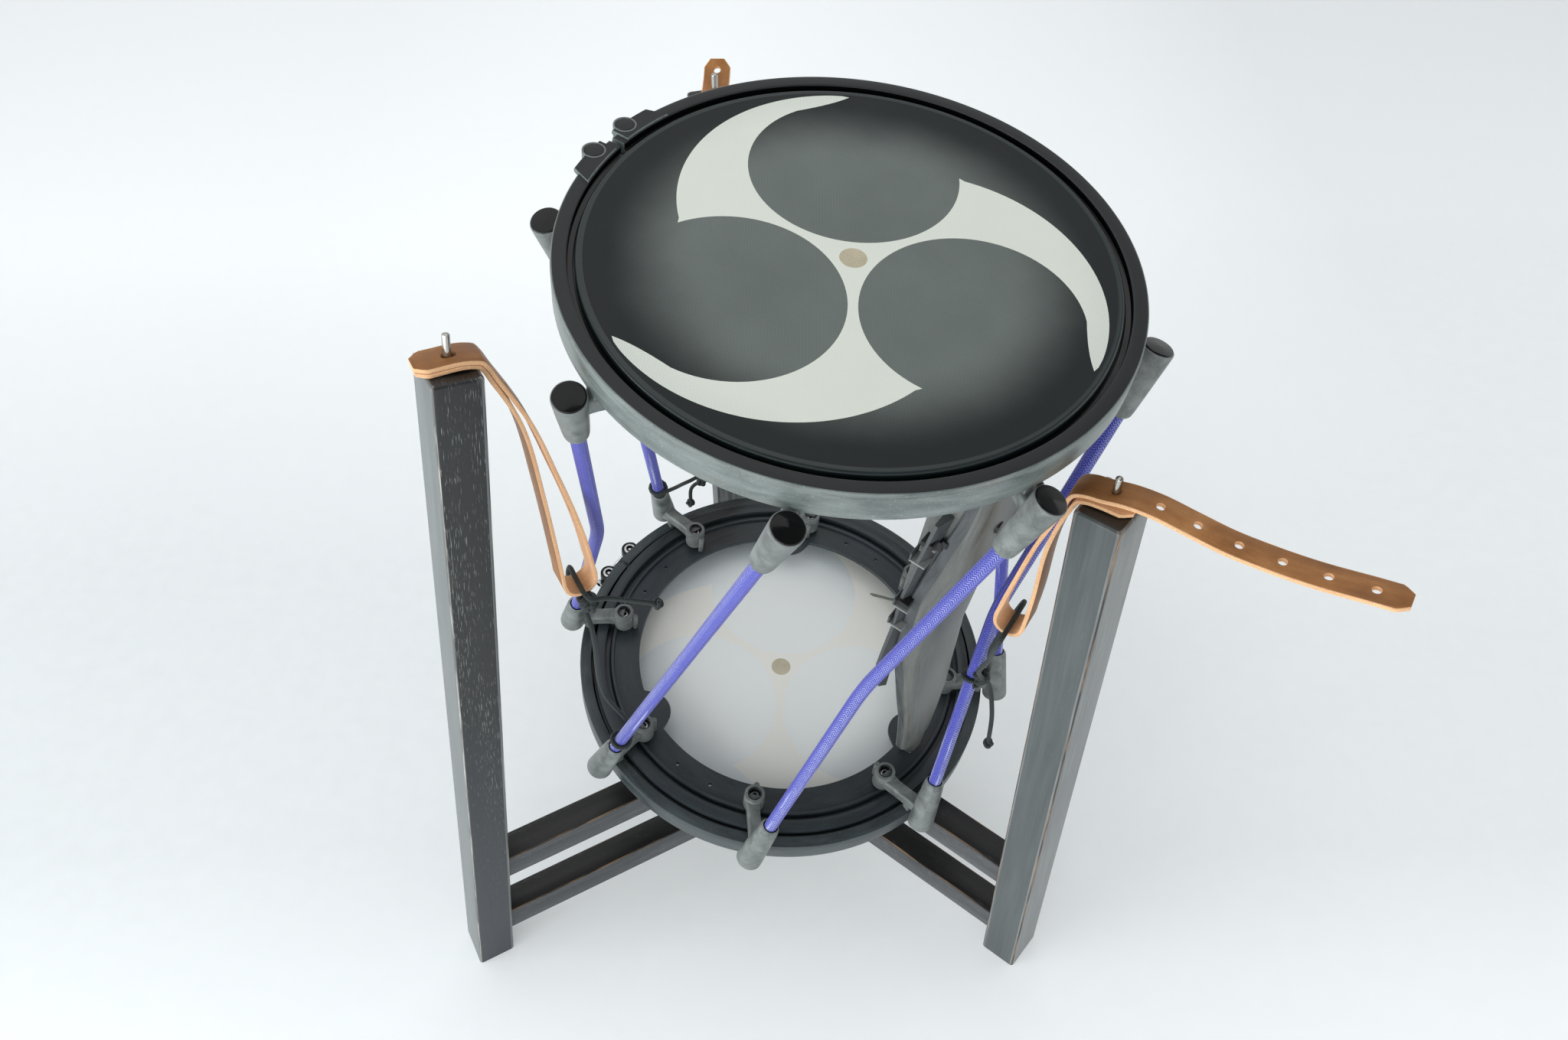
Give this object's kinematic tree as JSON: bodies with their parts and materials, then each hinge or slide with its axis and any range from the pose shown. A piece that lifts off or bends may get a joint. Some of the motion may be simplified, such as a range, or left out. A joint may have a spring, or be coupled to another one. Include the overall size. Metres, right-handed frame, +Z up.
{
  "type": "electronic taiko drum",
  "caption": "Electronic taiko drum with mesh heads, clamp hoops and slanted tension rods, hung by leather straps from the pins of a three-legged timber stand.",
  "frame": {"origin": "on the floor, under the middle of the object's footprint", "axes": "+Z up, +Y away from the viewer, +X to the viewer's right"},
  "size_m": [0.7212, 0.607, 0.7766],
  "materials": {
    "timber": "stained, rubbed edges",
    "steel": "satin",
    "lug_resin": "glass-filled moulding",
    "hoop_resin": "glass-filled moulding with flow marks",
    "black_plastic": "matt",
    "blue_sleeve": "braided",
    "mesh_head": "open weave",
    "tan_leather": "natural",
    "dark_cord": "twisted",
    "foam": "foam"
  },
  "bodies": {
    "stand": {"leg_left": "timber", "leg_right": "timber", "leg_back": "timber", "upper_rail_left": "timber", "upper_rail_right": "timber", "upper_rail_back": "timber", "lower_rail_left": "timber", "lower_rail_right": "timber", "lower_rail_back": "timber", "strap_pin_left": "steel", "strap_pin_right": "steel", "strap_pin_back": "steel"},
    "drum": {"upper_hoop": "hoop_resin", "lower_hoop": "hoop_resin", "upper_hoop_bolt": "steel", "lower_hoop_bolt": "steel", "upper_head": "mesh_head", "lower_head": "mesh_head", "upper_ring": "lug_resin", "lower_ring": "lug_resin", "upper_lug_1": "lug_resin", "upper_lug_2": "lug_resin", "upper_lug_3": "lug_resin", "upper_lug_4": "lug_resin", "upper_lug_5": "lug_resin", "upper_lug_6": "lug_resin", "upper_lug_7": "lug_resin", "upper_lug_8": "lug_resin", "lower_lug_1": "lug_resin", "lower_lug_2": "lug_resin", "lower_lug_3": "lug_resin", "lower_lug_4": "lug_resin", "lower_lug_5": "lug_resin", "lower_lug_6": "lug_resin", "lower_lug_7": "lug_resin", "lower_lug_8": "lug_resin", "tension_rod_1": "blue_sleeve", "tension_rod_2": "blue_sleeve", "tension_rod_3": "blue_sleeve", "tension_rod_4": "blue_sleeve", "tension_rod_5": "blue_sleeve", "tension_rod_6": "blue_sleeve", "tension_rod_7": "blue_sleeve", "tension_rod_8": "blue_sleeve", "head_sensor_1": "foam", "head_sensor_2": "foam", "head_sensor_3": "foam", "module_housing": "black_plastic", "battery_tray": "black_plastic", "strap_left": "tan_leather", "strap_right": "tan_leather", "strap_back": "tan_leather", "tie_cord_left": "dark_cord", "tie_cord_right": "dark_cord", "tie_cord_back": "dark_cord"},
    "volume_knob": {"volume_knob": "black_plastic"},
    "tone_knob": {"tone_knob": "black_plastic"},
    "power_button": {"power_button": "black_plastic"},
    "battery_cover": {"battery_cover": "black_plastic"}
  },
  "joints": [
    {"name": "drum_lift", "type": "slide", "parent": "stand", "child": "drum", "axis": [0, 0, 1], "range_m": [0, 0.05]},
    {"name": "volume_turn", "type": "hinge", "parent": "drum", "child": "volume_knob", "pos_m": [0.16373, -0.1144, 0.57301], "axis": [0.8106, -0.5647, -0.1554], "range_deg": [-150, 150]},
    {"name": "tone_turn", "type": "hinge", "parent": "drum", "child": "tone_knob", "pos_m": [0.1606, -0.11091, 0.53831], "axis": [0.8106, -0.5647, -0.1554], "range_deg": [-150, 150]},
    {"name": "power_press", "type": "slide", "parent": "drum", "child": "power_button", "axis": [-0.8106, 0.5647, 0.1554], "range_m": [0, 0.0015], "stiffness_N_per_m": 300},
    {"name": "cover_release", "type": "slide", "parent": "drum", "child": "battery_cover", "axis": [-0.8106, 0.5647, 0.1554], "range_m": [0, 0.04]}
  ]
}
